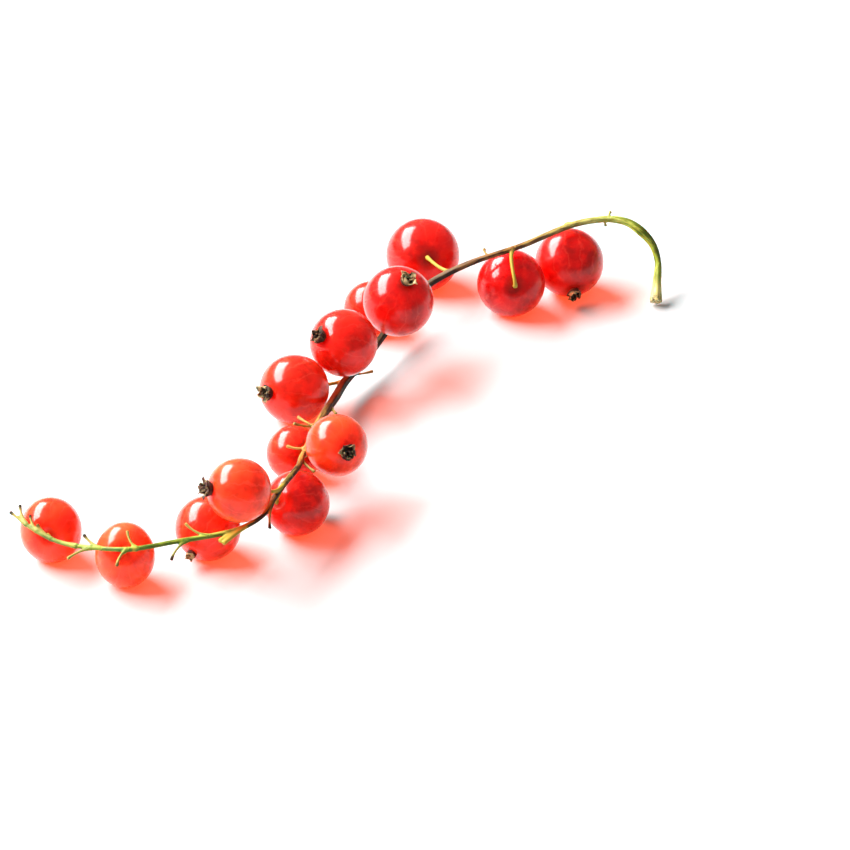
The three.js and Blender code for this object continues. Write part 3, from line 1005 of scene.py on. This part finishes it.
def write_stalk_place(mesh, limbs):
    """Gives each point of the stalk its place: mm along the strig, and across the limb."""
    samples = []
    for limb in limbs:
        walked = 0.0
        total = sum((b - a).length for a, b in zip(limb.points, limb.points[1:]))
        for index, (point, along, side) in enumerate(across_frames(limb.points)):
            if index:
                walked += (point - limb.points[index - 1]).length
            out = 0.0 if limb.start == 0.0 else walked / total
            reach = limb.start + walked
            samples.append(Sample(point, along, side, reach, out, limb.radii[index], limb))
    tree = kdtree.KDTree(len(samples))
    for index, sample in enumerate(samples):
        tree.insert(sample.point, index)
    tree.balance()

    rows = []
    for vertex in mesh.vertices:
        spot = vertex.co / MM
        near = tree.find_n(spot, NEAREST)
        _, index, _ = min(near, key=lambda found: found[2] - samples[found[1]].radius)
        sample = samples[index]
        along, side = sample.along, sample.side
        offset = spot - sample.point
        # Painted light: the way that the side painted paler faces, turning from the arch's way to
        # the window's past the arch
        past_arch = (sample.reach - ARCH_LENGTH) / ARCH_FADE
        pale = Vector(PAINTED_LIT_SIDE_OF_ARCH).lerp(PAINTED_LIT_SIDE, min(max(past_arch, 0.0), 1.0))
        rows.append((
            sample.reach + offset.dot(along), offset.dot(side), offset.dot(along.cross(side)),
            sample.out, sample.limb.bears, sample.limb.dark, vertex.normal.dot(pale),
        ))
    rows = eased(mesh, np.array(rows, np.float32))
    place = mesh.attributes.new("stalk_place", "FLOAT_VECTOR", "POINT")
    place.data.foreach_set("vector", rows[:, :3].ravel())
    for column, name in enumerate(("out", "bears", "dark", "painted_lit_side"), 3):
        values = mesh.attributes.new(name, "FLOAT", "POINT")
        values.data.foreach_set("value", rows[:, column].copy())


def eased(mesh, rows, rounds=4):
    """A row of values for each point of the mesh, drawn towards its neighbours' mean."""
    edges = np.empty(len(mesh.edges) * 2, np.int32)
    mesh.edges.foreach_get("vertices", edges)
    edges = edges.reshape(-1, 2)
    rows = rows.astype(np.float64)
    count = np.zeros(len(rows))
    np.add.at(count, edges.ravel(), 1)
    for _ in range(rounds):
        total = np.zeros_like(rows)
        np.add.at(total, edges[:, 0], rows[edges[:, 1]])
        np.add.at(total, edges[:, 1], rows[edges[:, 0]])
        rows = 0.5 * rows + 0.5 * total / np.maximum(count, 1)[:, None]
    return rows.astype(np.float32)


class REDCURRANT_OT_make_stalk(bpy.types.Operator):
    """Make the strig with its pedicels and the stubs of lost berries as one stalk"""

    bl_idname = "redcurrant.make_stalk"
    bl_label = "Make Stalk"

    def execute(self, context):
        settings = context.scene.redcurrant_stalk
        dimple = context.scene.redcurrant_berries.stalk_dimple / MM
        strig = strig_limb()
        limbs = [strig]
        limbs += [pedicel_limb(strig, berry, dimple) for berry in BERRIES]
        limbs += [stub_limb(strig, stub) for stub in STUBS]
        length = sum((b - a).length for a, b in zip(strig.points, strig.points[1:]))
        material = stalk_skin(length)
        stalk = dress("stalk", stalk_tree(), {
            "Sides": settings.sides, "Ridges": float(settings.ridges),
            "Ridge Height": settings.ridge_height, "Material": material,
        }, limb_mesh(limbs))
        fuse = stalk.modifiers.new("fuse", "REMESH")
        fuse.mode = "VOXEL"
        fuse.voxel_size = settings.fineness
        ease = stalk.modifiers.new("ease", "SMOOTH")
        ease.factor = 0.5
        ease.iterations = 3
        bake_mesh(stalk)
        write_stalk_place(stalk.data, limbs)
        stalk.data.materials.clear()
        stalk.data.materials.append(material)
        stalk.data.polygons.foreach_set("use_smooth", [True] * len(stalk.data.polygons))
        stand_for(stalk, "strig")
        return {"FINISHED"}


class REDCURRANT_OT_make_berries(bpy.types.Operator):
    """Make every berry of the sprig"""

    bl_idname = "redcurrant.make_berries"
    bl_label = "Make Berries"

    def execute(self, context):
        settings = context.scene.redcurrant_berries
        tree = berry_tree()
        for number, berry in enumerate(BERRIES, 1):
            node = f"berry_{number:02d}"
            middle = berry_middle(berry) * MM
            lowest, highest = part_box(node)
            off = ((lowest + highest) / 2 - middle).xy.length
            if off > PLACE_TOLERANCE * MM:
                raise RuntimeError(f"{node} lies {off / MM:.2f} mm from its place in the list")
            skin = berry_skin(f"berry skin {number:02d}", settings, berry.ripeness, number)
            piece = dress(f"currant_{number:02d}", tree, {
                "Radius": berry.diameter / 2 * MM,
                "Tall": berry.tall,
                "Axis": Vector(berry.calyx).normalized(),
                "Middle": middle,
                "Stalk Dimple": settings.stalk_dimple, "Stalk Dimple Width": STALK_DIMPLE_WIDTH,
                "Calyx Dimple": settings.calyx_dimple, "Calyx Dimple Width": CALYX_DIMPLE_WIDTH,
                "Unevenness": settings.lumps, "Seed": float(number),
                "Material": skin,
            })
            bake_mesh(piece)
            stand_for(piece, node)
        return {"FINISHED"}


class REDCURRANT_OT_make_calyxes(bpy.types.Operator):
    """Make the dry calyx at the end of every berry"""

    bl_idname = "redcurrant.make_calyxes"
    bl_label = "Make Calyxes"

    def execute(self, context):
        settings = context.scene.redcurrant_calyxes
        dimple = context.scene.redcurrant_berries.calyx_dimple / MM
        tree = calyx_tree()
        tissues = [dry_tissue(*tissue) for tissue in TISSUES]
        for number, berry in enumerate(BERRIES, 1):
            axis = Vector(berry.calyx).normalized()
            foot = place_out(berry, axis, berry.diameter / 2 - dimple)
            piece = dress(f"dry_calyx_{number:02d}", tree, {
                "Foot": foot * MM, "Axis": axis,
                "Cup Radius": settings.cup_radius * berry.calyx_size,
                "Cup Length": settings.cup_length * berry.calyx_size,
                "Sepal Length": settings.sepal_length * berry.calyx_size,
                "Sepal Width": settings.sepal_width * berry.calyx_size,
                "Curl": settings.curl, "Crumple": settings.crumple,
                "Seed": number * 31, "Material": tissues[berry.pale_calyx],
            })
            wall = piece.modifiers.new("thickness", "SOLIDIFY")
            wall.thickness = settings.thickness
            wall.offset = 0.0
            fine = piece.modifiers.new("fineness", "SUBSURF")
            fine.levels = fine.render_levels = 1
            bake_mesh(piece)
            stand_for(piece, f"calyx_{number:02d}")
        return {"FINISHED"}


class REDCURRANT_OT_make_stage(bpy.types.Operator):
    """Make the pale floor, the window light, the even white light and the camera"""

    bl_idname = "redcurrant.make_stage"
    bl_label = "Make Stage"

    def execute(self, context):
        settings = context.scene.redcurrant_stage
        scene = context.scene
        red_share = tuple(settings.juice_light)
        cool_share = tuple(1.0 - part for part in red_share)
        half = FLOOR_WIDTH / 2
        corners = [(-half, -half, 0), (half, -half, 0), (half, half, 0), (-half, half, 0)]
        floor_mesh = bpy.data.meshes.new("floor")
        floor_mesh.from_pydata(corners, [], [(0, 1, 2, 3)])
        floor = bpy.data.objects.new("floor", floor_mesh)
        scene.collection.objects.link(floor)
        material, tree, shader = new_material("pale floor")
        feed(tree, shader, {"Base Color": rgba(FLOOR_COLOUR), "Roughness": 0.8})
        floor_mesh.materials.append(material)

        world = bpy.data.worlds.new("even light")
        world.use_nodes = True
        background = world.node_tree.nodes["Background"]
        white = (1.0, 1.0, 1.0, 1.0)
        feed(world.node_tree, background, {"Color": white, "Strength": settings.sky})
        scene.world = world

        self.make_window(scene, "window", settings, cool_share, WINDOW_DISTANCE)
        deep_light = self.make_window(
            scene, "window red share", settings, red_share, WINDOW_DISTANCE + WINDOW_GAP
        )
        # Red light passes through the juice, so only the stalk and the calyxes stop it
        opaque = bpy.data.collections.new("stops red light")
        for piece in scene.objects:
            if piece.name.startswith(("stalk", "dry_calyx")):
                opaque.objects.link(piece)
        deep_light.light_linking.blocker_collection = opaque

        camera = bpy.data.objects.new("camera", bpy.data.cameras.new("camera"))
        scene.collection.objects.link(camera)
        camera.data.sensor_width = 36.0
        camera.data.lens = CAMERA_LENS
        camera.data.clip_start = 0.01
        back = Vector((0.0, -math.cos(CAMERA_TILT), math.sin(CAMERA_TILT)))
        camera.location = CAMERA_TARGET + back * CAMERA_DISTANCE
        camera.rotation_mode = "QUATERNION"
        camera.rotation_quaternion = (-back).to_track_quat("-Z", "Y")
        scene.camera = camera
        scene.view_settings.view_transform = "Standard"
        return {"FINISHED"}

    def make_window(self, scene, name, settings, colour, distance):
        """One share of the window's light. Its long side runs back over the sprig."""
        data = bpy.data.lights.new(name, "AREA")
        data.shape = "RECTANGLE"
        data.size = settings.window_width
        data.size_y = settings.window_height
        data.energy = settings.window_power
        data.color = colour
        lamp = bpy.data.objects.new(name, data)
        scene.collection.objects.link(lamp)
        towards = Vector(WINDOW_DIRECTION).normalized()
        across = Vector(WINDOW_LONG_SIDE).cross(towards).normalized()
        upright = towards.cross(across)
        lamp.location = SPRIG_MIDDLE + towards * distance
        lamp.rotation_mode = "QUATERNION"
        turn = Matrix((across, upright, towards)).transposed()
        lamp.rotation_quaternion = turn.to_quaternion()
        return lamp


class REDCURRANT_PT_panel(bpy.types.Panel):
    """The steps and settings of the sprig"""

    bl_label = "Redcurrants"
    bl_idname = "REDCURRANT_PT_panel"
    bl_space_type = "VIEW_3D"
    bl_region_type = "UI"
    bl_category = "Redcurrants"

    def draw(self, context):
        for step, group in STEPS:
            box = self.layout.box()
            box.operator(step.bl_idname)
            settings = getattr(context.scene, group)
            for name in settings.__annotations__:
                box.prop(settings, name)


STEPS = (
    (REDCURRANT_OT_make_stalk, "redcurrant_stalk"),
    (REDCURRANT_OT_make_berries, "redcurrant_berries"),
    (REDCURRANT_OT_make_calyxes, "redcurrant_calyxes"),
    (REDCURRANT_OT_make_stage, "redcurrant_stage"),
)
GROUPS = {
    "redcurrant_stalk": StalkSettings,
    "redcurrant_berries": BerrySettings,
    "redcurrant_calyxes": CalyxSettings,
    "redcurrant_stage": StageSettings,
}
CLASSES = (*GROUPS.values(), *(step for step, _ in STEPS), REDCURRANT_PT_panel)


def register():
    for cls in CLASSES:
        bpy.utils.register_class(cls)
    for name, group in GROUPS.items():
        setattr(bpy.types.Scene, name, PointerProperty(type=group))


def unregister():
    for name in GROUPS:
        delattr(bpy.types.Scene, name)
    for cls in reversed(CLASSES):
        bpy.utils.unregister_class(cls)


def main():
    register()
    bpy.ops.redcurrant.make_stalk()
    bpy.ops.redcurrant.make_berries()
    bpy.ops.redcurrant.make_calyxes()
    bpy.ops.redcurrant.make_stage()


if __name__ == "__main__":
    main()
